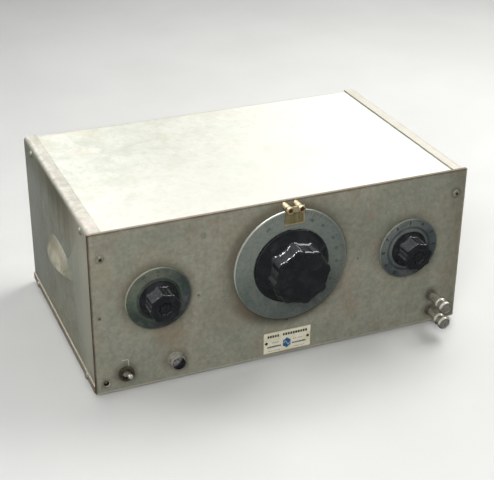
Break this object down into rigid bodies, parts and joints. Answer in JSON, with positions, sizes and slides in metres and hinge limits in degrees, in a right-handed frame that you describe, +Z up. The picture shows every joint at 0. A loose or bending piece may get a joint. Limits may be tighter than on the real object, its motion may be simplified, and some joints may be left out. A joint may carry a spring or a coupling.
{
  "type": "bench audio oscillator",
  "caption": "Bench audio oscillator in a grey sheet-metal cabinet, with a large lobed tuning knob and dial, small range and level knobs, toggle, pilot lamp and binding posts.",
  "frame": {"origin": "on the bench plane, under the middle of the whole object's box (knob fronts to mains plug, grip to grip)", "axes": "+X to the right seen from the front, front panel faces -Y, +Z up"},
  "size_m": [0.4264, 0.3196, 0.1828],
  "materials": {
    "panel_paint": "matt grey-beige, worn, blotched",
    "cabinet_paint": "satin grey, streaked",
    "top_paint": "satin pale grey",
    "black_knob": "polished black bakelite",
    "brown_bakelite": "satin",
    "phenolic": "satin paper laminate",
    "dial_metal": "etched, polished rim",
    "bare_aluminium": "satin",
    "brass": "worn, lacquered",
    "nickel": "worn nickel plate",
    "steel": "plated, dulled",
    "dark_steel": "oxidised",
    "amber_plate": "amber celluloid, hairlines",
    "jewel": "deep blue, unlit",
    "glass": "clear",
    "plate_cream": "printed metal plate",
    "rubber": "matt",
    "ceramic": "glazed white",
    "black_enamel": "crackle black"
  },
  "bodies": {
    "cabinet": {"front_panel": "panel_paint", "end_plate_left": "cabinet_paint", "end_plate_right": "cabinet_paint", "top_cover": "top_paint", "rear_cover": "cabinet_paint", "bottom_tray": "cabinet_paint", "feet": "rubber", "panel_screws": "steel", "cabinet_screws": "steel", "tuning_bushing": "brass", "panel_nuts": "nickel", "capacitor_frame": "bare_aluminium", "capacitor_stators": "bare_aluminium", "capacitor_insulators": "ceramic", "index_pillars": "brass", "index_plate": "amber_plate", "index_bracket": "brass", "index_screws": "dark_steel", "range_switch_frame": "steel", "range_wafers": "phenolic", "level_pot": "brown_bakelite", "toggle_body": "brown_bakelite", "toggle_nut": "dark_steel", "pilot_bezel": "nickel", "pilot_jewel": "jewel", "pilot_bulb": "glass", "pilot_socket": "brass", "post_studs": "nickel", "post_bases": "nickel", "nameplate": "plate_cream", "nameplate_rivets": "dark_steel", "chassis": "bare_aluminium", "power_transformer": "black_enamel", "output_transformer": "black_enamel", "filter_cans": "bare_aluminium", "tube_glass": "glass", "tube_bases": "brown_bakelite", "stabiliser_lamp": "glass", "component_board": "phenolic", "power_cord": "rubber", "cord_grommet": "rubber", "mains_plug": "brown_bakelite"},
    "tuning": {"tuning_knob": "black_knob", "main_dial": "dial_metal", "dial_plate": "bare_aluminium", "tuning_shaft": "steel", "shaft_coupling": "brass", "coupling_disc": "phenolic", "capacitor_rotor": "bare_aluminium"},
    "range": {"range_knob": "black_knob", "range_dial": "dial_metal", "range_shaft": "steel"},
    "level": {"level_knob": "black_knob", "level_dial": "dial_metal", "level_shaft": "steel"},
    "switch_lever": {"toggle_lever": "nickel"},
    "upper_washer": {"post_washer_upper": "nickel"},
    "upper_cap": {"post_cap_upper": "nickel"},
    "lower_washer": {"post_washer_lower": "nickel"},
    "lower_cap": {"post_cap_lower": "nickel"}
  },
  "joints": [
    {"name": "tuning_turn", "type": "hinge", "parent": "cabinet", "child": "tuning", "pos_m": [0, -0.1194, 0.1154], "axis": [0, 1, 0], "range_deg": [-150, 30]},
    {"name": "range_turn", "type": "hinge", "parent": "cabinet", "child": "range", "pos_m": [-0.138, -0.1194, 0.104], "axis": [0, 1, 0], "range_deg": [-30, 30]},
    {"name": "level_turn", "type": "hinge", "parent": "cabinet", "child": "level", "pos_m": [0.138, -0.1194, 0.104], "axis": [0, 1, 0], "range_deg": [-150, 150]},
    {"name": "power_toggle", "type": "hinge", "parent": "cabinet", "child": "switch_lever", "pos_m": [-0.1727, -0.1184, 0.023], "axis": [1, 0, 0], "range_deg": [0, 40]},
    {"name": "upper_post_travel", "type": "slide", "parent": "cabinet", "child": "upper_washer", "axis": [0, -1, 0], "range_m": [0, 0.00397]},
    {"name": "upper_post_turn", "type": "hinge", "parent": "upper_washer", "child": "upper_cap", "pos_m": [0.173, -0.1194, 0.03843], "axis": [0, -1, 0], "range_deg": [0, 1800]},
    {"name": "lower_post_travel", "type": "slide", "parent": "cabinet", "child": "lower_washer", "axis": [0, -1, 0], "range_m": [0, 0.00397]},
    {"name": "lower_post_turn", "type": "hinge", "parent": "lower_washer", "child": "lower_cap", "pos_m": [0.173, -0.1194, 0.01937], "axis": [0, -1, 0], "range_deg": [0, 1800]}
  ],
  "couplings": [
    {"joint": "upper_post_turn", "follows": "upper_post_travel", "rad_per_m": 7913.3},
    {"joint": "lower_post_turn", "follows": "lower_post_travel", "rad_per_m": 7913.3}
  ]
}
